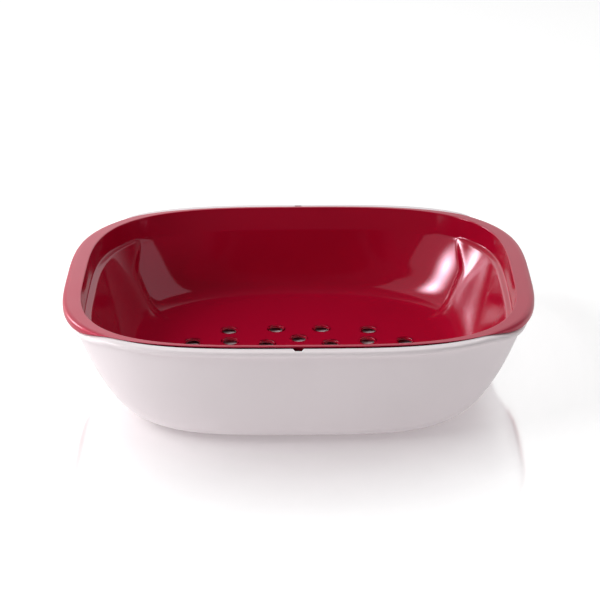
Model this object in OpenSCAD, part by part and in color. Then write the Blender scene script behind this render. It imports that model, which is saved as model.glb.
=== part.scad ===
// Colander with bowl: a rounded rectangular bowl and a drain basket that
// nests inside it and lifts out by two wings.
// The origin is under the middle of the bowl, on the surface it stands on.
// X runs along the length, Y from front to back and Z up.
// Every plan outline is a superellipse, and every wall is a stack of them.

/* [Bowl] */
// Length of the bowl over its rim
bowl_length = 294; // [230:1:360]
// Width of the bowl over its rim, front to back
bowl_width = 238.8; // [190:0.2:300]
// Height of the rim at the front and back
bowl_height = 67.8; // [55:0.2:100]
// How far the rim sweeps down at each end, below the wings
rim_dip = 6; // [2:0.5:8]
// Thickness of the rolled rim from its top to its underside
rim_thickness = 3.2; // [2.4:0.1:4.5]
// How far the rim stands out from the body
rim_overhang = 3.4; // [2:0.1:6]
// Width of the rim's flat top at the front and back
rim_front_width = 6.5; // [5.5:0.1:9]
// Width of the rim's flat top at each end
rim_end_width = 5.4; // [4.6:0.1:8]
// Thickness of the bowl's wall at its foot
bowl_wall = 2; // [1.5:0.1:3]
// Thickness of the bowl's floor
bowl_floor = 2.4; // [1.6:0.1:4]
// Length of the bowl's flat base
base_length = 182; // [150:1:210]
// Width of the bowl's flat base
base_width = 176; // [140:1:190]
// Height of the foot ring under the base
foot_height = 1; // [0.6:0.1:3]
// Width of the foot ring
foot_width = 4; // [2:0.5:8]
// How far the foot ring stays in from the edge of the base
foot_inset = 4; // [2:0.5:10]

/* [Rim notches] */
// Width of a notch where it opens into the bowl
notch_width = 7; // [4:0.5:12]
// Width of a notch at its outer end
notch_tip_width = 4; // [2:0.5:8]
// Length of a notch across the rim
notch_length = 3.8; // [2:0.1:5]
// Depth of a notch below the rim's top
notch_depth = 2; // [1:0.1:2.4]

/* [Colander rim and wings] */
// How far the colander's rim stands above the bowl's rim
rim_proud = 1.1; // [0.6:0.1:4]
// How much lower the rim is at the ends than at the front
rim_sag = 1.2; // [0:0.1:2]
// Clear space between the colander's seat and the bowl's rim
seat_gap = 0.4; // [0.2:0.05:0.6]
// Clear space between the two rims at the front and back
front_gap = 0.4; // [0.3:0.05:1]
// Clear space between the end walls, level with the rim
end_gap = 1.1; // [0.8:0.1:3]
// Width of the colander's rim at the front and back
front_rim_width = 2.5; // [2.2:0.1:4]
// How far each wing reaches past the bowl's rim
wing_reach = 4; // [3:0.5:15]
// Thickness of a wing's top skin
wing_skin = 2; // [1.4:0.1:3]
// Thickness of the lip that turns down round a wing
wing_lip = 2; // [1.4:0.1:3]

/* [Colander basket] */
// Clear space between the two floors
under_gap = 2; // [1:0.5:20]
// Thickness of the basket's wall
basket_wall = 1.6; // [1.2:0.1:1.9]
// Thickness of the basket's floor
basket_floor = 2; // [1.4:0.1:2.4]
// How far the floor's end stays in from the end of the bowl's base
floor_end_inset = -1; // [-4:0.5:20]
// How far the floor's side stays in from the side of the bowl's base
floor_side_inset = 4; // [0:0.5:20]
// Height of the steep wall above the end ledges
ledge_drop = 14.2; // [8:0.1:24]
// Width of an end ledge at its middle
ledge_width = 4.2; // [2:0.1:8]
// How far a ledge falls towards the middle of the basket
ledge_fall = 1.1; // [0.6:0.1:3]
// How far the end wall leans in over the ledge drop
end_lean = 1.7; // [1.2:0.1:4]
// How far the side wall leans in over the ledge drop
side_lean = 3.7; // [1.5:0.1:6]
// Diameter of a drain hole
hole_diameter = 10; // [5:0.5:12]

/* [Hidden] */

// Points round each outline, and levels up each curved wall
ring_points = 96;
wall_levels = 10;
hole_facets = 48;

// How square each outline is: 2 is an ellipse, and higher is squarer
rim_square = 3.5;
body_square = 3.8;
cavity_square = 3.6;
opening_square = 3.4;
wing_square = 3.36;
ledge_square = 3.5;
basket_square = 3.46;
floor_square = 2.6;

// How late up a wall its outline turns from the squareness of its foot to that
// of its top: 1 is evenly, and higher is later
square_turn = 3;

// How full a wall's curve is at the end and at the side, and the shares of it
// that are a plain slope. The basket's corners are fuller than its ends.
wall_fullness = [3.2, 4];
wall_slope_share = [0.39, 0.17];
corner_fullness = [3.8, 5];
corner_slope_share = [0.33, 0.12];

// Where the dip of the rim starts and ends, as shares of the half length
dip_start_share = 0.76;
dip_end_share = 0.97;

// Bearings between which a ledge, and the step in the wall below it, runs out
ledge_full_bearing = 34.6;
ledge_tip_bearing = 38.7;

// The rolled edge of the bowl's rim: share of the rounding, share of height
rim_round = 1.8;
rim_edge_shares = [[0.45, 0], [0, 0.26], [0, 0.58], [0.3, 0.87], [1, 1]];

// The wing's edge from its lip up: share of the rounding, share of height
wing_round = 3;
wing_edge_shares = [[0.2, 0], [0, 0.14], [0, 0.5], [0.12, 0.72], [0.42, 0.89], [1, 0.98]];

// How much of a wing's lip and rounding is left at the front and back
front_lip_share = 0.15;
front_round_share = 0.3;

// The soft break of the inner edge of each rim
edge_break = 0.6;

// How far the side of a moulded step leans, so that it leaves its mould
draft = 0.4;

// One overrun for every cut
over = 1;

// Half sizes of the bowl
rim_a = bowl_length / 2;
rim_b = bowl_width / 2;
body_a = rim_a - rim_overhang;
body_b = rim_b - rim_overhang;
cavity_a = rim_a - rim_end_width;
cavity_b = rim_b - rim_front_width;
base_a = base_length / 2;
base_b = base_width / 2;
foot_a = base_a - foot_inset;
foot_b = base_b - foot_inset;
body_top = bowl_height - rim_thickness;
bowl_floor_top = foot_height + bowl_floor;

// Half sizes and heights of the colander
wing_a = rim_a + wing_reach;
wing_b = cavity_b - front_gap;
opening_a = cavity_a - end_gap - basket_wall;
opening_b = wing_b - front_rim_width;
rim_top = bowl_height + rim_proud;
seat_top = bowl_height + seat_gap;
floor_top = bowl_floor_top + under_gap + basket_floor;
ledge_top = rim_top - ledge_drop;
ledge_a = opening_a - end_lean;
ledge_b = opening_b - side_lean;
basket_top = ledge_top - ledge_fall;
basket_a = ledge_a - ledge_width;
basket_b = ledge_b;
corner_a = ledge_a - end_lean * ledge_fall / ledge_drop;
corner_b = ledge_b - side_lean * ledge_fall / ledge_drop;
floor_a = base_a - floor_end_inset;
floor_b = base_b - floor_side_inset;

// Drain holes, as shares of the floor's half length and half width
inner_ring_count = 8;
inner_ring_share = [0.332, 0.315];
outer_hole_shares = [
    [0.168, 0.498], [0.516, 0.473], [0.776, 0.259],
    [0.812, 0], [0.571, 0], [0.503, 0.269]
];

// A number raised to a power with its sign kept
function signed_pow(v, e) = sign(v) * pow(abs(v), e);

// A smooth climb from 0 to 1 while v goes from low to high
function climb(v, low, high) =
    let (t = max(0, min(1, (v - low) / (high - low)))) t * t * (3 - 2 * t);

// Bearings of the points of every outline, closest together round the corners
bearings = [
    for (i = [0 : ring_points - 1])
        let (
            t = 360 * i / ring_points,
            x = rim_a * signed_pow(cos(t), 2 / rim_square),
            y = rim_b * signed_pow(sin(t), 2 / rim_square)
        )
        atan2(y, x)
];

// How far a superellipse with half sizes a and b reaches along a bearing
function reach(a, b, square, bearing) =
    1 / pow(pow(abs(cos(bearing)) / a, square) + pow(abs(sin(bearing)) / b, square), 1 / square);

// One outline, with its height given by a function of the distance from the middle
function ring(a, b, square, height) = [
    for (bearing = bearings)
        let (r = reach(a, b, square, bearing), x = r * cos(bearing))
        [x, r * sin(bearing), height(abs(x))]
];

// How far the bowl's rim has dipped at a distance x from the middle
function dip(x) = rim_dip * climb(x, dip_start_share * rim_a, dip_end_share * rim_a);

// Height of the colander's rim, its seat and its skin at a distance x
function top_at(x) = rim_top - rim_sag * pow(x / wing_a, 2);
function seat_at(x) = seat_top - dip(x);
function skin_at(x) = max(top_at(x) - wing_skin, seat_at(x));

// How far a wall has moved out when it has risen by a share of its height
function bulge(rise, fullness, slope_share) =
    (1 - slope_share) * pow(1 - pow(1 - rise, fullness), 1 / fullness) + slope_share * rise;

// Outlines of a curved wall, from its foot up to its top, both given as
// [half length, half width, squareness, height]
function wall_rings(foot, top, fullness, slope_share, dips) = [
    for (k = [0 : wall_levels])
        let (
            rise = pow(k / wall_levels, 2),
            end = bulge(rise, fullness[0], slope_share[0]),
            side = bulge(rise, fullness[1], slope_share[1])
        )
        ring(
            foot[0] + (top[0] - foot[0]) * end,
            foot[1] + (top[1] - foot[1]) * side,
            foot[2] + (top[2] - foot[2]) * pow(rise, square_turn),
            function (x) foot[3] + (top[3] - foot[3]) * rise - dips * rise * dip(x)
        )
];

// A list in the opposite order
function reversed(list) = [for (i = [len(list) - 1 : -1 : 0]) list[i]];

// A closed skin over a list of rings, with a flat cap at each end
module skin(rings) {
    n = ring_points;
    count = len(rings);
    points = [for (r = rings) each r];
    sides = [
        for (k = [0 : count - 2], i = [0 : n - 1])
            let (j = (i + 1) % n, low = k * n, high = low + n)
            each [[low + i, high + i, high + j], [low + i, high + j, low + j]]
    ];
    first_cap = [for (i = [0 : n - 1]) i];
    last_cap = [for (i = [n - 1 : -1 : 0]) (count - 1) * n + i];
    polyhedron(points = points, faces = concat(sides, [first_cap, last_cap]));
}

// The foot ring, from the middle of the base out to the body
foot_rings = [
    ring(foot_a - foot_width, foot_b - foot_width, body_square, function (x) foot_height),
    ring(foot_a - foot_width + draft, foot_b - foot_width + draft, body_square, function (x) 0),
    ring(foot_a - draft, foot_b - draft, body_square, function (x) 0),
    ring(foot_a, foot_b, body_square, function (x) foot_height)
];

// The rolled rim of the bowl, from under its edge up and over
bowl_rim_rings = concat(
    [
        for (s = rim_edge_shares)
            ring(rim_a - s[0] * rim_round, rim_b - s[0] * rim_round, rim_square,
                 function (x) body_top + s[1] * rim_thickness - dip(x))
    ],
    [
        ring(cavity_a + edge_break, cavity_b + edge_break, cavity_square,
             function (x) bowl_height - dip(x)),
        ring(cavity_a, cavity_b, cavity_square,
             function (x) bowl_height - edge_break - dip(x))
    ]
);

bowl_outer_rings = wall_rings(
    [base_a, base_b, body_square, foot_height],
    [body_a, body_b, body_square, body_top],
    wall_fullness, wall_slope_share, 1
);

bowl_inner_rings = reversed(wall_rings(
    [base_a - bowl_wall, base_b - bowl_wall, body_square, bowl_floor_top],
    [cavity_a, cavity_b, cavity_square, body_top],
    wall_fullness, wall_slope_share, 1
));

// A notch across the rim at the front, open to the inside of the bowl
module rim_notch() {
    translate([0, 0, bowl_height - notch_depth])
        linear_extrude(height = notch_depth + over)
            polygon([
                [-notch_width / 2, over - cavity_b],
                [notch_width / 2, over - cavity_b],
                [notch_width / 2, -cavity_b],
                [notch_tip_width / 2, -cavity_b - notch_length],
                [-notch_tip_width / 2, -cavity_b - notch_length],
                [-notch_width / 2, -cavity_b]
            ]);
}

module bowl() {
    color([0.88, 0.86, 0.86])
        difference() {
            skin(concat(foot_rings, bowl_outer_rings, bowl_rim_rings, bowl_inner_rings));
            rim_notch();
            mirror([0, 1, 0]) rim_notch();
        }
}

// How much of the ledge's width a bearing has: 1 along the ends, 0 elsewhere
function ledge_share(bearing) =
    1 - climb(atan2(abs(sin(bearing)), abs(cos(bearing))), ledge_full_bearing, ledge_tip_bearing);

// Outlines of the basket's wall below the ledges, as fuller corner walls and
// sides with an end wall set in from them, and a step where they meet
function basket_rings(grow, foot_z, top_z) =
    let (
        foot = [floor_a + grow, floor_b + grow, floor_square, foot_z],
        corners = wall_rings(foot, [corner_a + grow, corner_b + grow, ledge_square, top_z],
                             corner_fullness, corner_slope_share, 0),
        ends = wall_rings(foot, [basket_a + grow, basket_b + grow, basket_square, top_z],
                          wall_fullness, wall_slope_share, 0)
    )
    [
        for (k = [0 : wall_levels])
            [
                for (i = [0 : ring_points - 1])
                    corners[k][i] + (ends[k][i] - corners[k][i]) * ledge_share(bearings[i])
            ]
    ];

// One outline of the wing's edge, drawn in by a share of its rounding
function wing_ring(share, height) =
    ring(wing_a - share * wing_round, wing_b - share * wing_round * front_round_share,
         wing_square, height);

basket_outer_rings = concat(
    basket_rings(basket_wall, floor_top - basket_floor, basket_top - basket_wall),
    [ring(ledge_a + basket_wall, ledge_b + basket_wall, ledge_square,
          function (x) ledge_top - basket_wall)]
);

basket_inner_rings = concat(
    [ring(ledge_a, ledge_b, ledge_square, function (x) ledge_top)],
    reversed(basket_rings(0, floor_top, basket_top))
);

// The rim of the colander, from the wall out under the skin, round the lip
// and back over the top to the opening
colander_rim_rings = concat(
    [
        ring(opening_a + basket_wall, opening_b + basket_wall, opening_square,
             function (x) skin_at(x)),
        ring(wing_a - wing_lip - draft, wing_b - front_lip_share * (wing_lip + draft), wing_square,
             function (x) skin_at(x)),
        ring(wing_a - wing_lip, wing_b - front_lip_share * wing_lip, wing_square,
             function (x) seat_at(x))
    ],
    [
        for (s = wing_edge_shares)
            wing_ring(s[0], function (x) seat_at(x) + s[1] * (top_at(x) - seat_at(x)))
    ],
    [
        ring(opening_a + edge_break, opening_b + edge_break, opening_square,
             function (x) top_at(x)),
        ring(opening_a, opening_b, opening_square,
             function (x) top_at(x) - edge_break)
    ]
);

// Places of the drain holes on the floor, as shares, each in its quadrants
hole_places = concat(
    [
        for (i = [0 : inner_ring_count - 1])
            let (t = 360 * i / inner_ring_count)
            [cos(t) * inner_ring_share.x, sin(t) * inner_ring_share.y]
    ],
    [for (s = outer_hole_shares, mx = [-1, 1], my = s.y == 0 ? [1] : [-1, 1]) [mx * s.x, my * s.y]]
);

module drain_holes() {
    for (s = hole_places)
        translate([s.x * floor_a, s.y * floor_b, floor_top - basket_floor - over])
            cylinder(h = basket_floor + 2 * over, d = hole_diameter, $fn = hole_facets);
}

module colander() {
    color([0.66, 0.02, 0.13])
        difference() {
            skin(concat(basket_outer_rings, colander_rim_rings, basket_inner_rings));
            drain_holes();
        }
}

bowl();
colander();
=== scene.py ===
"""Looks of a colander nested in its bowl.

Both pieces are closed meshes skinned over superellipse outlines, from the same
sizes as the construction, with finer roundings. Sizes are in millimetres and
are turned into metres when a mesh is made. X runs along the length, Y from
front to back and Z up, with the origin under the middle of the bowl.
"""
import math

import bmesh
import bpy
import numpy as np
from mathutils import Matrix, Vector, geometry


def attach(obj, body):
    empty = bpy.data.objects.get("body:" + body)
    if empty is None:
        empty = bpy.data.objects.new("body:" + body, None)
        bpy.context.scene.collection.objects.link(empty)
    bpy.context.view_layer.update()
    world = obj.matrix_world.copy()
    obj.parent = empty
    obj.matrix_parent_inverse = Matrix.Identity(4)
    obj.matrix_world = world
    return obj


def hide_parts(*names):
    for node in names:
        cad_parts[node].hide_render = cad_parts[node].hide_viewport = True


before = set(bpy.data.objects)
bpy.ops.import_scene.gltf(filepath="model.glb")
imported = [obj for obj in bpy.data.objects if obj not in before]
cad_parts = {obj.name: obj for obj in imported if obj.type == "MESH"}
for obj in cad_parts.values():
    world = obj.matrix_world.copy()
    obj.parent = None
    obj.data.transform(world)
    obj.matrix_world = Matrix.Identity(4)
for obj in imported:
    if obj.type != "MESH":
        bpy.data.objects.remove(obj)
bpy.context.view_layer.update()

MM = 0.001

# Sizes of the bowl
BOWL_HEIGHT = 67.8
RIM = (147.0, 119.4)
RIM_DIP = 6.0
RIM_THICKNESS = 3.2
RIM_OVERHANG = 3.4
RIM_FRONT_WIDTH = 6.5
RIM_END_WIDTH = 5.4
BOWL_WALL = 2.0
BOWL_FLOOR = 2.4
BASE = (91.0, 88.0)
FOOT_HEIGHT = 1.0
FOOT_WIDTH = 4.0
FOOT_INSET = 4.0
NOTCH_WIDTH = 7.0
NOTCH_TIP_WIDTH = 4.0
NOTCH_LENGTH = 3.8
NOTCH_DEPTH = 2.0
CUTTER_INWARDS = 1.0
CUTTER_UPWARDS = 2.0

# Sizes of the colander
RIM_PROUD = 1.1
RIM_SAG = 1.2
SEAT_GAP = 0.4
FRONT_GAP = 0.4
END_GAP = 1.1
FRONT_RIM_WIDTH = 2.5
WING_REACH = 4.0
WING_SKIN = 2.0
WING_LIP = 2.0
UNDER_GAP = 2.0
BASKET_WALL = 1.6
BASKET_FLOOR = 2.0
FLOOR_END_INSET = -1.0
FLOOR_SIDE_INSET = 4.0
LEDGE_DROP = 14.2
LEDGE_WIDTH = 4.2
LEDGE_FALL = 1.1
END_LEAN = 1.7
SIDE_LEAN = 3.7
HOLE_DIAMETER = 10.0

# Small roundings, and the flat margins round the holes and at the floor's edge
EDGE_BREAK = 0.6
DRAFT = 0.4
RIM_ROUND = 1.8
RIM_ROUND_FLATNESS = 0.8
RIM_UNDER_ROUND = 0.8
STEP_FILLET = 1.2
WING_ROUND = 3.0
LEDGE_FILLET = 1.1
HOLE_ROUND = 0.5
HOLE_GUARD = 0.8
PLATE_GUARD = 1.5
FRONT_LIP_SHARE = 0.15
FRONT_ROUND_SHARE = 0.3
WING_EDGE_SHARES = [(0.2, 0), (0, 0.14), (0, 0.5), (0.12, 0.72), (0.42, 0.89), (1, 0.98)]

# Squareness of the outlines, and fullness and plain slope of the wall curves
RIM_SQUARE = 3.5
BODY_SQUARE = 3.8
CAVITY_SQUARE = 3.6
OPENING_SQUARE = 3.4
WING_SQUARE = 3.36
LEDGE_SQUARE = 3.5
BASKET_SQUARE = 3.46
WALL_FULLNESS = (3.2, 4.0)
WALL_SLOPE = (0.39, 0.17)
CORNER_FULLNESS = (3.8, 5.0)
CORNER_SLOPE = (0.33, 0.12)
FLOOR_SQUARE = 2.6
SQUARE_TURN = 3
DIP_START_SHARE = 0.76
DIP_END_SHARE = 0.97
LEDGE_FULL_BEARING = 34.6
LEDGE_TIP_BEARING = 38.7
LEDGE_TIP_SHARPNESS = 2.2
STEP_TURN = 5
STEP_TURN_SHARE = 0.4

# Drain holes, as shares of the floor's half sizes
INNER_RING_COUNT = 8
INNER_RING_SHARE = (0.332, 0.315)
OUTER_HOLE_SHARES = [
    (0.168, 0.498), (0.516, 0.473), (0.776, 0.259),
    (0.812, 0), (0.571, 0), (0.503, 0.269),
]

# Fineness of the meshes: columns, rows and points, then the settings of how
# corners, shading edges and flat plates are made, with SHARP_ANGLE in degrees
COLUMNS = 720
WALL_ROWS = 56
ROW_BUNCHING = 2.6
STEEP_ROWS = 10
LEDGE_TURN_ROW = 12
LEDGE_TURN_CLEARANCE = 0.2
RIM_TOP_ROWS = 3
RIM_BREAK_ROWS = 4
WING_EDGE_ROWS = 26
WING_TOP_ROWS = 6
WING_BREAK_ROWS = 5
HOLE_TOP_ROWS = 4
HOLE_LOW_ROWS = 3
HOLE_POINTS = 48
ARC_ROWS = 6
SAMPLES_PER_COLUMN = 40
CORNER_REACH_SHARE = 0.45
SHARP_ANGLE = 50
TINY = 1e-6
MERGE_WITHIN = 1e-7
HULL_TRIANGLES = 0

# Derived sizes
CAVITY = (RIM[0] - RIM_END_WIDTH, RIM[1] - RIM_FRONT_WIDTH)
BODY = (RIM[0] - RIM_OVERHANG, RIM[1] - RIM_OVERHANG)
BODY_TOP = BOWL_HEIGHT - RIM_THICKNESS
BOWL_FLOOR_TOP = FOOT_HEIGHT + BOWL_FLOOR
WING = (RIM[0] + WING_REACH, CAVITY[1] - FRONT_GAP)
OPENING = (CAVITY[0] - END_GAP - BASKET_WALL, WING[1] - FRONT_RIM_WIDTH)
RIM_TOP = BOWL_HEIGHT + RIM_PROUD
SEAT_TOP = BOWL_HEIGHT + SEAT_GAP
FLOOR_TOP = BOWL_FLOOR_TOP + UNDER_GAP + BASKET_FLOOR
FLOOR = (BASE[0] - FLOOR_END_INSET, BASE[1] - FLOOR_SIDE_INSET)
LEDGE_TOP = RIM_TOP - LEDGE_DROP
LEDGE = (OPENING[0] - END_LEAN, OPENING[1] - SIDE_LEAN)
BASKET_TOP = LEDGE_TOP - LEDGE_FALL
BASKET = (LEDGE[0] - LEDGE_WIDTH, LEDGE[1])
CORNER = (
    LEDGE[0] - END_LEAN * LEDGE_FALL / LEDGE_DROP,
    LEDGE[1] - SIDE_LEAN * LEDGE_FALL / LEDGE_DROP,
)


def grown(size, by):
    """Both half sizes of an outline, made larger by a length or a pair of lengths."""
    along, across = by if isinstance(by, tuple) else (by, by)
    return (size[0] + along, size[1] + across)


def even_bearings():
    """Bearings of the outline points, evenly spaced along the rim, with one on each ledge tip."""
    t = np.linspace(0, 2 * np.pi, SAMPLES_PER_COLUMN * COLUMNS + 1)
    x = RIM[0] * np.sign(np.cos(t)) * np.abs(np.cos(t)) ** (2 / RIM_SQUARE)
    y = RIM[1] * np.sign(np.sin(t)) * np.abs(np.sin(t)) ** (2 / RIM_SQUARE)
    along = np.concatenate([[0], np.cumsum(np.hypot(np.diff(x), np.diff(y)))])
    spots = np.arange(COLUMNS) * along[-1] / COLUMNS
    angle = np.arctan2(np.interp(spots, along, y), np.interp(spots, along, x))
    tip = math.radians(LEDGE_TIP_BEARING)
    for target in (tip, math.pi - tip, tip - math.pi, -tip):
        angle[np.argmin(np.abs(angle - target))] = target
    return angle


BEARINGS = even_bearings()


def ring(size, square, height):
    """One outline as an array of points; height is a number or a function of |x|."""
    c, s = np.cos(BEARINGS), np.sin(BEARINGS)
    r = (np.abs(c / size[0]) ** square + np.abs(s / size[1]) ** square) ** (-1 / square)
    x, y = r * c, r * s
    z = height(np.abs(x)) if callable(height) else np.full_like(x, height)
    return np.stack([x, y, z], axis=1)


def climb(v, low, high):
    """A smooth climb from 0 to 1 while v goes from low to high."""
    t = np.clip((v - low) / (high - low), 0, 1)
    return t * t * (3 - 2 * t)


def dip(x):
    """How far the bowl's rim has sunk at a distance from the middle."""
    return RIM_DIP * climb(x, DIP_START_SHARE * RIM[0], DIP_END_SHARE * RIM[0])


def top_at(x):
    """Height of the colander's top surface."""
    return RIM_TOP - RIM_SAG * (x / WING[0]) ** 2


def seat_at(x):
    """Height of the colander's underside just above the bowl's rim."""
    return SEAT_TOP - dip(x)


def skin_at(x):
    """Height of the underside of the wing's skin."""
    return np.maximum(top_at(x) - WING_SKIN, seat_at(x))


def ledge_share(turn):
    """How much of the ledge's width each column has, with a crisp start at the tips.

    The step in the wall below a ledge starts nearer the middle of the end by the angle turn.
    """
    folded = np.degrees(np.arctan2(np.abs(np.sin(BEARINGS)), np.abs(np.cos(BEARINGS)))) + turn
    t = np.clip((LEDGE_TIP_BEARING - folded) / (LEDGE_TIP_BEARING - LEDGE_FULL_BEARING), 0, 1)
    return 1 - (1 - t) ** LEDGE_TIP_SHARPNESS


def bulge(rise, fullness, slope):
    """How far out a wall is at a share of its height: a full curve blended with a slope."""
    curve = (1 - (1 - rise) ** fullness) ** (1 / fullness)
    return (1 - slope) * curve + slope * rise


def rise_at(row):
    """How far up a wall a row lies, as a share, with the rows closer together at the foot."""
    return (row / WALL_ROWS) ** ROW_BUNCHING


def wall_rings(foot, foot_square, foot_z, top, top_square, top_z, fullness, slope, dips):
    """Outlines of a curved wall, from its foot up to its top."""
    made = []
    for row in range(WALL_ROWS + 1):
        rise = rise_at(row)
        size = (
            foot[0] + (top[0] - foot[0]) * bulge(rise, fullness[0], slope[0]),
            foot[1] + (top[1] - foot[1]) * bulge(rise, fullness[1], slope[1]),
        )
        square = foot_square + (top_square - foot_square) * rise**SQUARE_TURN
        z = foot_z + (top_z - foot_z) * rise
        made.append(ring(size, square, lambda x, z=z, rise=rise: z - dips * rise * dip(x)))
    return made


def quarter(count=ARC_ROWS):
    """Pairs (across, up) along a quarter turn that starts level and ends upright."""
    return [
        (math.sin(a), 1 - math.cos(a))
        for a in np.linspace(0, math.pi / 2, count + 1)
    ]


def rounded_corner(before, corner, after, radius, rows=ARC_ROWS):
    """Rings that turn a corner between three rings in a soft curve."""
    made = []
    back, forth = before - corner, after - corner
    reach_b = np.linalg.norm(back, axis=1, keepdims=True)
    reach_f = np.linalg.norm(forth, axis=1, keepdims=True)
    start = corner + back * np.minimum(radius / np.maximum(reach_b, TINY), CORNER_REACH_SHARE)
    end = corner + forth * np.minimum(radius / np.maximum(reach_f, TINY), CORNER_REACH_SHARE)
    for t in np.linspace(0, 1, rows + 1):
        made.append((1 - t) ** 2 * start + 2 * t * (1 - t) * corner + t * t * end)
    return made


def smooth_path(points, count):
    """A curve through the points, as count + 1 evenly numbered points."""
    p = np.array([points[0], *points, points[-1]], float)
    made = []
    for u in np.linspace(0, len(points) - 1, count + 1):
        i = min(int(u), len(points) - 2)
        t = u - i
        a, b, c, d = p[i : i + 4]
        made.append(0.5 * (2 * b + (c - a) * t + (2 * a - 5 * b + 4 * c - d) * t**2
                           + (3 * b - a - 3 * c + d) * t**3))
    return made


def between(low, high, rows):
    """Rings evenly between two rings, without the ends."""
    return [low + (high - low) * k / rows for k in range(1, rows)]


def strip_faces(start, rows):
    """Quads between consecutive rings whose points start at index start."""
    faces = []
    for k in range(rows - 1):
        a, b = start + k * COLUMNS, start + (k + 1) * COLUMNS
        for i in range(COLUMNS):
            j = (i + 1) % COLUMNS
            faces.append((a + i, a + j, b + j, b + i))
    return faces


def make_object(name, points, faces, groups=None):
    """A mesh object in metres; groups gives each face's material number."""
    mesh = bpy.data.meshes.new(name)
    mesh.from_pydata((np.asarray(points) * MM).tolist(), [], faces)
    mesh.update()
    if groups is not None:
        mesh.polygons.foreach_set("material_index", groups)
    mesh.polygons.foreach_set("use_smooth", [True] * len(faces))
    obj = bpy.data.objects.new(name, mesh)
    bpy.context.scene.collection.objects.link(obj)
    return obj


def apply_modifiers(obj):
    """Make an object's modified shape its own mesh."""
    graph = bpy.context.evaluated_depsgraph_get()
    mesh = bpy.data.meshes.new_from_object(obj.evaluated_get(graph))
    obj.modifiers.clear()
    obj.data = mesh


def notch_cutter(side):
    """The prism that is cut out of the rim at the front (side -1) or the back (side 1)."""
    half, tip = NOTCH_WIDTH / 2, NOTCH_TIP_WIDTH / 2
    inner = CAVITY[1]
    start, end = inner - CUTTER_INWARDS, inner + NOTCH_LENGTH
    outline = [(-half, start), (half, start), (half, inner), (tip, end), (-tip, end),
               (-half, inner)]
    low, high = BOWL_HEIGHT - NOTCH_DEPTH, BOWL_HEIGHT + CUTTER_UPWARDS
    points = [(x, side * y, low) for x, y in outline] + [(x, side * y, high) for x, y in outline]
    n = len(outline)
    faces = [tuple(range(n)), tuple(range(2 * n - 1, n - 1, -1))]
    faces += [(i, n + i, n + (i + 1) % n, (i + 1) % n) for i in range(n)]
    if side > 0:
        faces = [tuple(reversed(f)) for f in faces]
    return make_object("notch_cutter", points, faces)


def recalc(obj):
    """Turn every face of a closed mesh outwards."""
    bm = bmesh.new()
    bm.from_mesh(obj.data)
    bmesh.ops.recalc_face_normals(bm, faces=bm.faces)
    bm.to_mesh(obj.data)
    bm.free()


def make_bowl():
    """The bowl: foot ring, outer wall, rolled rim and cavity, with the two notches cut."""
    foot = grown(BASE, -FOOT_INSET)
    rings = [
        ring(grown(foot, -FOOT_WIDTH), BODY_SQUARE, FOOT_HEIGHT),
        ring(grown(foot, -FOOT_WIDTH + DRAFT), BODY_SQUARE, 0),
        ring(grown(foot, -DRAFT), BODY_SQUARE, 0),
        ring(foot, BODY_SQUARE, FOOT_HEIGHT),
    ]
    rings += wall_rings(BASE, BODY_SQUARE, FOOT_HEIGHT, BODY, BODY_SQUARE, BODY_TOP,
                        WALL_FULLNESS, WALL_SLOPE, 1)
    wall_top = rings.pop()
    under = ring(grown(RIM, -RIM_UNDER_ROUND), RIM_SQUARE, lambda x: BODY_TOP - dip(x))
    rings += rounded_corner(rings[-1], wall_top, under, STEP_FILLET)
    for across, up in quarter():
        grow = -RIM_UNDER_ROUND * (1 - across)
        rings.append(ring(grown(RIM, grow), RIM_SQUARE,
                          lambda x, up=up: BODY_TOP + RIM_UNDER_ROUND * up - dip(x)))
    crown_height = RIM_ROUND * RIM_ROUND_FLATNESS
    crown = RIM_THICKNESS - crown_height
    for up, across in quarter():
        rings.append(ring(grown(RIM, -RIM_ROUND * across), RIM_SQUARE,
                          lambda x, up=up: BODY_TOP + crown + crown_height * up - dip(x)))
    flat = ring(grown(CAVITY, EDGE_BREAK), CAVITY_SQUARE, lambda x: BOWL_HEIGHT - dip(x))
    rings += between(rings[-1], flat, RIM_TOP_ROWS)
    for across, up in quarter(RIM_BREAK_ROWS):
        rings.append(ring(grown(CAVITY, EDGE_BREAK * (1 - across)), CAVITY_SQUARE,
                          lambda x, up=up: BOWL_HEIGHT - EDGE_BREAK * up - dip(x)))
    rings += wall_rings(grown(BASE, -BOWL_WALL), BODY_SQUARE, BOWL_FLOOR_TOP,
                        CAVITY, CAVITY_SQUARE, BODY_TOP, WALL_FULLNESS, WALL_SLOPE, 1)[::-1]
    count = len(rings)
    faces = strip_faces(0, count)
    faces.append(tuple(range(COLUMNS))[::-1])
    faces.append(tuple((count - 1) * COLUMNS + i for i in range(COLUMNS)))
    bowl = make_object("white_bowl", np.concatenate(rings), faces)
    recalc(bowl)
    for side in (-1, 1):
        cutter = notch_cutter(side)
        recalc(cutter)
        cut = bowl.modifiers.new("notch", "BOOLEAN")
        cut.object, cut.operation, cut.solver = cutter, "DIFFERENCE", "EXACT"
        apply_modifiers(bowl)
        bpy.data.objects.remove(cutter)
    bowl.data.set_sharp_from_angle(angle=math.radians(SHARP_ANGLE))
    return bowl


def hole_places():
    """Centres of the drain holes, in millimetres."""
    turns = [2 * math.pi * i / INNER_RING_COUNT for i in range(INNER_RING_COUNT)]
    shares = [(math.cos(t) * INNER_RING_SHARE[0], math.sin(t) * INNER_RING_SHARE[1]) for t in turns]
    for sx, sy in OUTER_HOLE_SHARES:
        for mx in (-1, 1):
            for my in (1,) if sy == 0 else (-1, 1):
                shares.append((mx * sx, my * sy))
    return [(sx * FLOOR[0], sy * FLOOR[1]) for sx, sy in shares]


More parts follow.
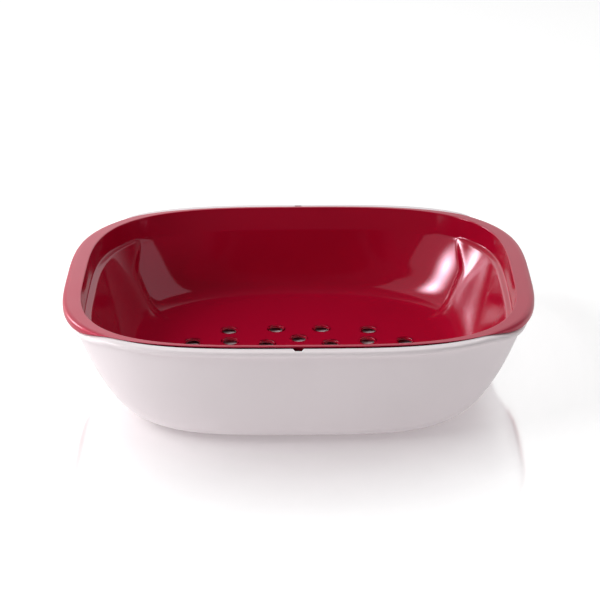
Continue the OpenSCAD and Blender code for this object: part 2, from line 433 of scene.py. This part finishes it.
def pierced_plate(outer, first_index, hole_indices, hole_loops):
    """Triangles of a flat plate inside the loop outer and outside every hole loop."""
    coords = [Vector((p[0], p[1])) for p in outer]
    index = list(range(first_index, first_index + len(outer)))
    edges = [(i, (i + 1) % len(outer)) for i in range(len(outer))]
    for start, loop in zip(hole_indices, hole_loops):
        base = len(coords)
        coords += [Vector((p[0], p[1])) for p in loop]
        index += list(range(start, start + len(loop)))
        edges += [(base + i, base + (i + 1) % len(loop)) for i in range(len(loop))]
    out = geometry.delaunay_2d_cdt(coords, edges, [], HULL_TRIANGLES, MERGE_WITHIN)
    corners, triangles, origins = out[0], out[2], out[3]
    places = np.array([(v.x, v.y) for v in corners])
    centres = hole_places()
    faces = []
    for triangle in triangles:
        middle = places[list(triangle)].mean(axis=0)
        if any(math.dist(middle, centre) < HOLE_DIAMETER / 2 for centre in centres):
            continue
        faces.append(tuple(index[origins[v][0]] for v in triangle))
    return faces


def make_colander():
    """The colander: basket, ledges, wings with their lips, and a floor with drain holes."""

    def basket(grow, foot_z, top_z):
        """Rings of the curved wall below the ledges, from its foot up."""
        foot = grown(FLOOR, grow)
        corners = wall_rings(foot, FLOOR_SQUARE, foot_z, grown(CORNER, grow), LEDGE_SQUARE,
                             top_z, CORNER_FULLNESS, CORNER_SLOPE, 0)
        ends = wall_rings(foot, FLOOR_SQUARE, foot_z, grown(BASKET, grow), BASKET_SQUARE,
                          top_z, WALL_FULLNESS, WALL_SLOPE, 0)
        turns = [STEP_TURN * climb(1 - rise_at(row), 0, STEP_TURN_SHARE)
                 for row in range(WALL_ROWS + 1)]
        return [corner + (end - corner) * ledge_share(turn)[:, None]
                for corner, end, turn in zip(corners, ends, turns)]

    under = ring(grown(FLOOR, BASKET_WALL - PLATE_GUARD), FLOOR_SQUARE, FLOOR_TOP - BASKET_FLOOR)
    outer = [under]
    outer += basket(BASKET_WALL, FLOOR_TOP - BASKET_FLOOR, BASKET_TOP - BASKET_WALL)
    outer.append(ring(grown(LEDGE, BASKET_WALL), LEDGE_SQUARE, LEDGE_TOP - BASKET_WALL))
    outer.append(ring(grown(OPENING, BASKET_WALL), OPENING_SQUARE, skin_at))
    lip_in = (-WING_LIP, -FRONT_LIP_SHARE * WING_LIP)
    lip_root = (-WING_LIP - DRAFT, -FRONT_LIP_SHARE * (WING_LIP + DRAFT))
    outer.append(ring(grown(WING, lip_root), WING_SQUARE, skin_at))
    outer.append(ring(grown(WING, lip_in), WING_SQUARE, seat_at))

    top = []
    for across, up in smooth_path(WING_EDGE_SHARES, WING_EDGE_ROWS):
        inwards = -max(across, 0) * WING_ROUND
        shrink = (inwards, inwards * FRONT_ROUND_SHARE)
        top.append(ring(grown(WING, shrink), WING_SQUARE,
                        lambda x, up=up: seat_at(x) + up * (top_at(x) - seat_at(x))))
    edge = ring(grown(OPENING, EDGE_BREAK), OPENING_SQUARE, top_at)
    top += between(top[-1], edge, WING_TOP_ROWS)
    for across, up in quarter(WING_BREAK_ROWS):
        top.append(ring(grown(OPENING, EDGE_BREAK * (1 - across)), OPENING_SQUARE,
                        lambda x, up=up: top_at(x) - EDGE_BREAK * up))
    steep_low = ring(LEDGE, LEDGE_SQUARE, LEDGE_TOP)
    inner = between(top[-1], steep_low, STEEP_ROWS)
    walls = basket(0, FLOOR_TOP, BASKET_TOP)[::-1]
    inner += rounded_corner(inner[-1], steep_low, walls[0], LEDGE_FILLET)
    inner += rounded_corner(steep_low, walls[0], walls[LEDGE_TURN_ROW], LEDGE_FILLET)
    lowest = inner[-1][:, 2]
    inner += [w for w in walls[1:] if (w[:, 2] < lowest - LEDGE_TURN_CLEARANCE).all()]
    inner.append(ring(grown(FLOOR, -PLATE_GUARD), FLOOR_SQUARE, FLOOR_TOP))

    rings = outer + top + inner
    count = len(rings)
    points = list(np.concatenate(rings))
    faces = strip_faces(0, count)
    wing_first, wing_last = len(outer) - 3, len(outer) + len(top) - 4
    groups = [1 if wing_first <= k // COLUMNS <= wing_last else 0 for k in range(len(faces))]

    radius = HOLE_DIAMETER / 2
    profile = [(radius + HOLE_ROUND + HOLE_GUARD, FLOOR_TOP)]
    profile += [(radius + HOLE_ROUND * (1 - across), FLOOR_TOP - HOLE_ROUND * up)
                for across, up in quarter(HOLE_TOP_ROWS)]
    profile += [(radius + HOLE_ROUND * (1 - across), FLOOR_TOP - BASKET_FLOOR + HOLE_ROUND * up)
                for across, up in quarter(HOLE_LOW_ROWS)[::-1]]
    profile += [(radius + HOLE_ROUND + HOLE_GUARD, FLOOR_TOP - BASKET_FLOOR)]
    turn = np.linspace(0, 2 * np.pi, HOLE_POINTS, endpoint=False)
    top_starts, top_loops, low_starts, low_loops = [], [], [], []
    for cx, cy in hole_places():
        start = len(points)
        for r, z in profile:
            points += [np.array([cx + r * math.cos(t), cy + r * math.sin(t), z]) for t in turn]
        for k in range(len(profile) - 1):
            a, b = start + k * HOLE_POINTS, start + (k + 1) * HOLE_POINTS
            faces += [(a + i, b + i, b + (i + 1) % HOLE_POINTS, a + (i + 1) % HOLE_POINTS)
                      for i in range(HOLE_POINTS)]
        last = start + (len(profile) - 1) * HOLE_POINTS
        top_starts.append(start)
        top_loops.append(points[start : start + HOLE_POINTS])
        low_starts.append(last)
        low_loops.append(points[last : last + HOLE_POINTS])
    inner_start = (count - 1) * COLUMNS
    faces += pierced_plate(rings[-1], inner_start, top_starts, top_loops)
    faces += pierced_plate(rings[0], 0, low_starts, low_loops)
    groups += [0] * (len(faces) - len(groups))
    colander = make_object("crimson_colander", points, faces, groups)
    recalc(colander)
    return colander


def new_material(name):
    """An empty material and its node tree."""
    material = bpy.data.materials.new(name)
    material.use_nodes = True
    return material, material.node_tree


# The plastics. Noise scales are in cells per metre, each with its levels of
# detail. MOTTLE_SPAN is the span of noise that the colour follows, RUB_FROM and
# RUB_TO the pointiness over which an edge is rubbed, RUB_SHARE how much of the
# paler colour it gets at most, and GLOSS_SPREAD how far the roughness varies, as
# a share. PEEL_DEPTH is in metres.
MOTTLE_SCALE, MOTTLE_DETAIL = 14, 3
MOTTLE_SPAN = (0.3, 0.7)
RUB_FROM, RUB_TO = 0.53, 0.62
RUB_SHARE = 0.05
RUB_GAIN, RUB_LIFT = 1.2, 0.03
SMEAR_SCALE, SMEAR_DETAIL = 45, 5
GLOSS_SPREAD = 0.15
PEEL_SCALE, PEEL_DETAIL = 900, 2
PEEL_DEPTH = 0.00004
PLASTIC_IOR = 1.5

# Places of the colour sockets A, B and Result on a Mix node
MIX_A, MIX_B, MIX_RESULT = 6, 7, 2

WHITE = (1, 1, 1, 1)


def plastic(name, colour, roughness, specular, specular_tint, peel, mottling):
    """Moulded plastic: a faint mottling of colour, uneven gloss, fine peel and rubbed edges."""
    material, tree = new_material(name)
    nodes, links = tree.nodes, tree.links
    shader = nodes["Principled BSDF"]
    place = nodes.new("ShaderNodeTexCoord")

    cloud = nodes.new("ShaderNodeTexNoise")
    cloud.inputs["Scale"].default_value = MOTTLE_SCALE
    cloud.inputs["Detail"].default_value = MOTTLE_DETAIL
    links.new(place.outputs["Object"], cloud.inputs["Vector"])
    shade = nodes.new("ShaderNodeValToRGB")
    deep, pale = shade.color_ramp.elements
    deep.position, pale.position = MOTTLE_SPAN
    deep.color = (*[c * (1 - mottling) for c in colour], 1)
    pale.color = (*[min(1, c * (1 + mottling)) for c in colour], 1)
    links.new(cloud.outputs["Fac"], shade.inputs["Fac"])

    edge = nodes.new("ShaderNodeNewGeometry")
    rub = nodes.new("ShaderNodeMapRange")
    rub.inputs["From Min"].default_value = RUB_FROM
    rub.inputs["From Max"].default_value = RUB_TO
    rub.inputs["To Max"].default_value = RUB_SHARE
    links.new(edge.outputs["Pointiness"], rub.inputs["Value"])
    worn = nodes.new("ShaderNodeMix")
    worn.data_type = "RGBA"
    links.new(rub.outputs["Result"], worn.inputs["Factor"])
    links.new(shade.outputs["Color"], worn.inputs[MIX_A])
    rubbed = [min(1, c * RUB_GAIN + RUB_LIFT) for c in colour]
    worn.inputs[MIX_B].default_value = (*rubbed, 1)
    links.new(worn.outputs[MIX_RESULT], shader.inputs["Base Color"])

    smear = nodes.new("ShaderNodeTexNoise")
    smear.inputs["Scale"].default_value = SMEAR_SCALE
    smear.inputs["Detail"].default_value = SMEAR_DETAIL
    links.new(place.outputs["Object"], smear.inputs["Vector"])
    gloss = nodes.new("ShaderNodeMapRange")
    gloss.inputs["To Min"].default_value = roughness * (1 - GLOSS_SPREAD)
    gloss.inputs["To Max"].default_value = roughness * (1 + GLOSS_SPREAD)
    links.new(smear.outputs["Fac"], gloss.inputs["Value"])
    links.new(gloss.outputs["Result"], shader.inputs["Roughness"])

    grain = nodes.new("ShaderNodeTexNoise")
    grain.inputs["Scale"].default_value = PEEL_SCALE
    grain.inputs["Detail"].default_value = PEEL_DETAIL
    links.new(place.outputs["Object"], grain.inputs["Vector"])
    bump = nodes.new("ShaderNodeBump")
    bump.inputs["Strength"].default_value = peel
    bump.inputs["Distance"].default_value = PEEL_DEPTH
    links.new(grain.outputs["Fac"], bump.inputs["Height"])
    links.new(bump.outputs["Normal"], shader.inputs["Normal"])
    shader.inputs["IOR"].default_value = PLASTIC_IOR
    shader.inputs["Specular IOR Level"].default_value = specular
    shader.inputs["Specular Tint"].default_value = specular_tint
    return material


def make_floor():
    """A pale matt board that mirrors the bowl close by and hardly at all far off.

    The mirror and the lift to white are there for the camera's own rays only, so
    neither throws light on the bowl. The lift is left off close to the bowl, so
    the floor round it stays darker there: painted shade round the bowl.
    """
    size = FLOOR_HALF_SIZE
    floor = make_object("studio_floor", [(-size, -size, 0), (size, -size, 0),
                                         (size, size, 0), (-size, size, 0)], [(0, 1, 2, 3)])
    material, tree = new_material("studio_board")
    nodes, links = tree.nodes, tree.links
    out = nodes["Material Output"]
    nodes.remove(nodes["Principled BSDF"])
    matt = nodes.new("ShaderNodeBsdfDiffuse")
    matt.inputs["Color"].default_value = FLOOR_PAINT
    glow = nodes.new("ShaderNodeEmission")
    glow.inputs["Color"].default_value = WHITE
    place = nodes.new("ShaderNodeTexCoord")
    reach = nodes.new("ShaderNodeVectorMath")
    reach.operation = "LENGTH"
    links.new(place.outputs["Object"], reach.inputs[0])
    # Painted shade: the lift to white is nil within LIFT_FROM of the middle and full only beyond
    # LIFT_TO, so the floor round the bowl stays darker
    lift_outside_painted_shade = nodes.new("ShaderNodeMapRange")
    lift_outside_painted_shade.interpolation_type = "SMOOTHSTEP"
    lift_outside_painted_shade.inputs["From Min"].default_value = LIFT_FROM
    lift_outside_painted_shade.inputs["From Max"].default_value = LIFT_TO
    lift_outside_painted_shade.inputs["To Max"].default_value = FLOOR_LIFT
    links.new(reach.outputs["Value"], lift_outside_painted_shade.inputs["Value"])
    path = nodes.new("ShaderNodeLightPath")
    lift = nodes.new("ShaderNodeMath")
    lift.operation = "MULTIPLY_ADD"
    links.new(path.outputs["Is Camera Ray"], lift.inputs[0])
    links.new(lift_outside_painted_shade.outputs["Result"], lift.inputs[1])
    lift.inputs[2].default_value = FLOOR_GLOW
    links.new(lift.outputs["Value"], glow.inputs["Strength"])
    lit = nodes.new("ShaderNodeAddShader")
    links.new(matt.outputs[0], lit.inputs[0])
    links.new(glow.outputs[0], lit.inputs[1])
    mirror = nodes.new("ShaderNodeBsdfGlossy")
    mirror.inputs["Roughness"].default_value = MIRROR_ROUGHNESS
    mirror.inputs["Color"].default_value = WHITE
    fade = nodes.new("ShaderNodeMapRange")
    fade.interpolation_type = "SMOOTHSTEP"
    fade.inputs["From Min"].default_value = MIRROR_FROM
    fade.inputs["From Max"].default_value = MIRROR_TO
    fade.inputs["To Min"].default_value = FLOOR_MIRROR
    fade.inputs["To Max"].default_value = FLOOR_MIRROR_FAR
    links.new(reach.outputs["Value"], fade.inputs["Value"])
    seen = nodes.new("ShaderNodeMath")
    seen.operation = "MULTIPLY"
    links.new(fade.outputs["Result"], seen.inputs[0])
    links.new(path.outputs["Is Camera Ray"], seen.inputs[1])
    mix = nodes.new("ShaderNodeMixShader")
    links.new(seen.outputs["Value"], mix.inputs[0])
    links.new(lit.outputs[0], mix.inputs[1])
    links.new(mirror.outputs[0], mix.inputs[2])
    links.new(mix.outputs[0], out.inputs["Surface"])
    floor.data.materials.append(material)


def aim(obj, target):
    """Turn a light so that it faces a point."""
    obj.rotation_mode = "QUATERNION"
    obj.rotation_quaternion = (Vector(target) - obj.location).to_track_quat("-Z", "Y")


def add_hot_spots(light, spots):
    """Soft round glows in a soft box that is dark between them."""
    light.use_nodes = True
    nodes, links = light.node_tree.nodes, light.node_tree.links
    place = nodes.new("ShaderNodeNewGeometry")
    total = None
    for brightness, middle, reach in spots:
        centre = nodes.new("ShaderNodeMapping")
        centre.inputs["Location"].default_value = (-middle[0] / reach[0], -middle[1] / reach[1], 0)
        centre.inputs["Scale"].default_value = (1 / reach[0], 1 / reach[1], 0)
        links.new(place.outputs["Parametric"], centre.inputs["Vector"])
        spot = nodes.new("ShaderNodeTexGradient")
        spot.gradient_type = "QUADRATIC_SPHERE"
        links.new(centre.outputs["Vector"], spot.inputs["Vector"])
        gain = nodes.new("ShaderNodeMath")
        gain.operation = "MULTIPLY_ADD"
        gain.inputs[1].default_value = brightness
        gain.inputs[2].default_value = 0
        links.new(spot.outputs["Fac"], gain.inputs[0])
        if total:
            links.new(total.outputs["Value"], gain.inputs[2])
        total = gain
    links.new(total.outputs["Value"], nodes["Emission"].inputs["Strength"])


def soft_box(name, bearing, height, distance, size, brightness, reaches, hot_spots=()):
    """A rectangular soft box aimed at the bowl; bearing 0 is behind it and 90 on its right."""
    light = bpy.data.lights.new(name, "AREA")
    light.shape, light.size, light.size_y = "RECTANGLE", *size
    light.energy = brightness * math.pi * size[0] * size[1]
    obj = bpy.data.objects.new(name, light)
    turn, rise = math.radians(bearing), math.radians(height)
    obj.location = (
        distance * math.sin(turn) * math.cos(rise),
        distance * math.cos(turn) * math.cos(rise),
        distance * math.sin(rise),
    )
    aim(obj, LIGHTS_AIM)
    obj.visible_glossy = reaches != "matt"
    obj.visible_diffuse = reaches != "gloss"
    if hot_spots:
        add_hot_spots(light, hot_spots)
    bpy.context.scene.collection.objects.link(obj)


def make_world():
    """White to the eye, bright behind the bowl for its gloss, and dim in front and above."""
    world = bpy.data.worlds.new("studio")
    world.use_nodes = True
    bpy.context.scene.world = world
    nodes, links = world.node_tree.nodes, world.node_tree.links
    back = nodes["Background"]
    place = nodes.new("ShaderNodeTexCoord")
    split = nodes.new("ShaderNodeSeparateXYZ")
    links.new(place.outputs["Generated"], split.inputs[0])
    behind = nodes.new("ShaderNodeMapRange")
    behind.interpolation_type = "SMOOTHSTEP"
    behind.inputs["From Min"].default_value = BRIGHT_FROM
    behind.inputs["From Max"].default_value = BRIGHT_TO
    behind.inputs["To Min"].default_value = WORLD_DIM
    behind.inputs["To Max"].default_value = WORLD_BRIGHT
    links.new(split.outputs["Y"], behind.inputs["Value"])
    path = nodes.new("ShaderNodeLightPath")
    pick = nodes.new("ShaderNodeMix")
    links.new(path.outputs["Is Camera Ray"], pick.inputs["Factor"])
    links.new(behind.outputs["Result"], pick.inputs["A"])
    pick.inputs["B"].default_value = WORLD_SEEN
    links.new(pick.outputs["Result"], back.inputs["Strength"])
    back.inputs["Color"].default_value = WHITE


# The camera, from a perspective fit of the rims: focal length in pixels of a
# picture 600 wide, distance in mm, pitch, turn and roll in radians, the point
# that it looks at in mm, and the nearest and furthest that it sees in metres
FOCAL, IMAGE_WIDTH, SENSOR = 1984.4, 600, 36
CAMERA_DISTANCE = 1301.1
PITCH, TURN, ROLL = 0.43, -0.0014, 0.00614
LOOK_AT = (0.98, 0, 47.99)
NEAREST, FURTHEST = 0.05, 50


def make_camera():
    """The camera of the fit, made the scene's own."""
    data = bpy.data.cameras.new("camera")
    data.sensor_fit = "HORIZONTAL"
    data.sensor_width = SENSOR
    data.lens = SENSOR * FOCAL / IMAGE_WIDTH
    data.clip_start, data.clip_end = NEAREST, FURTHEST
    camera = bpy.data.objects.new("camera", data)
    forward = Vector((0, math.cos(PITCH), -math.sin(PITCH)))
    across = Vector((1, 0, 0))
    up = Vector((0, math.sin(PITCH), math.cos(PITCH)))
    right = across * math.cos(ROLL) - up * math.sin(ROLL)
    top = across * math.sin(ROLL) + up * math.cos(ROLL)
    place = Vector(LOOK_AT) - forward * CAMERA_DISTANCE
    turn = Matrix.Rotation(-TURN, 4, "Z")
    basis = Matrix((right, top, -forward)).transposed().to_4x4()
    camera.matrix_world = turn @ Matrix.Translation(place * MM) @ basis
    bpy.context.scene.collection.objects.link(camera)
    bpy.context.scene.camera = camera


# The floor: its half size in millimetres, its own light, the light added far
# from the bowl, its mirror close to the bowl and far off, and the distances in
# metres from the middle over which the added light and the mirror change. The
# added light is kept off close to the bowl, which leaves a painted shade on the
# floor round it. With a FLOOR_MIRROR of 0.74 or more a faint arc showed on the
# floor.
FLOOR_HALF_SIZE = 6000
FLOOR_PAINT = (0.9, 0.9, 0.9, 1)
FLOOR_GLOW = 0.2
FLOOR_LIFT = 0.22
LIFT_FROM, LIFT_TO = 0.09, 0.16
FLOOR_MIRROR = 0.72
FLOOR_MIRROR_FAR = 0.02
MIRROR_FROM, MIRROR_TO = 0.1, 0.25
MIRROR_ROUGHNESS = 0.09

# The light around: in front of the bowl and behind it, the Y of a direction of
# length 1 from which it brightens and at which it is full, and the brightness
# that the camera itself sees
WORLD_DIM = 0.05
WORLD_BRIGHT = 1.08
BRIGHT_FROM, BRIGHT_TO = 0.1, 0.8
WORLD_SEEN = 1.0

# The point in metres that every light faces
LIGHTS_AIM = (0, 0, 0.03)

# Each light's name, bearing and height in degrees, distance and size in metres,
# brightness, whether it reaches the gloss, the matt colour or both, and any hot
# spots: how bright each is, and its middle and reach on the box as shares
LIGHTS = [
    ("key_box", -92, 27, 1.6, (3.8, 1.6), 0.6, "gloss"),
    ("key_spots", -92, 27, 1.59, (3.8, 1.6), 1.0, "gloss",
     [(42, (0.6, 0.42), (0.12, 0.34)), (32, (0.29, 0.38), (0.16, 0.36))]),
    ("key_soft", -101, 38, 1.6, (1.2, 0.9), 5.1, "matt"),
    ("right_panel", 104, 24, 1.4, (0.9, 0.8), 0.85, "both"),
    ("back_panel", -14, 24, 1.7, (0.5, 0.7), 0.6, "both"),
    ("top_box", 0, 88, 1.8, (1.6, 1.6), 0.75, "matt"),
    ("front_low", -175, 9, 1.9, (1.8, 0.5), 0.95, "matt"),
]

# The tint of the light that the crimson plastic mirrors
RED_SHEEN = (1, 0.7, 0.86, 1)

bpy.context.scene.view_settings.view_transform = "Standard"

make_camera()
make_world()
make_floor()
for light in LIGHTS:
    soft_box(*light)

white = plastic("white_satin", colour=(0.86, 0.775, 0.80), roughness=0.34, specular=0.5,
                specular_tint=WHITE, peel=0.12, mottling=0.012)
gloss = plastic("crimson_gloss", colour=(0.43, 0.003, 0.027), roughness=0.09, specular=0.6,
                specular_tint=RED_SHEEN, peel=0.03, mottling=0.03)
satin = plastic("crimson_satin", colour=(0.45, 0.006, 0.035), roughness=0.3, specular=0.6,
                specular_tint=RED_SHEEN, peel=0.1, mottling=0.03)

bowl = make_bowl()
bowl.data.materials.append(white)
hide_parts("bowl")
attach(bowl, "bowl")

colander = make_colander()
colander.data.materials.append(gloss)
colander.data.materials.append(satin)
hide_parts("colander")
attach(colander, "colander")
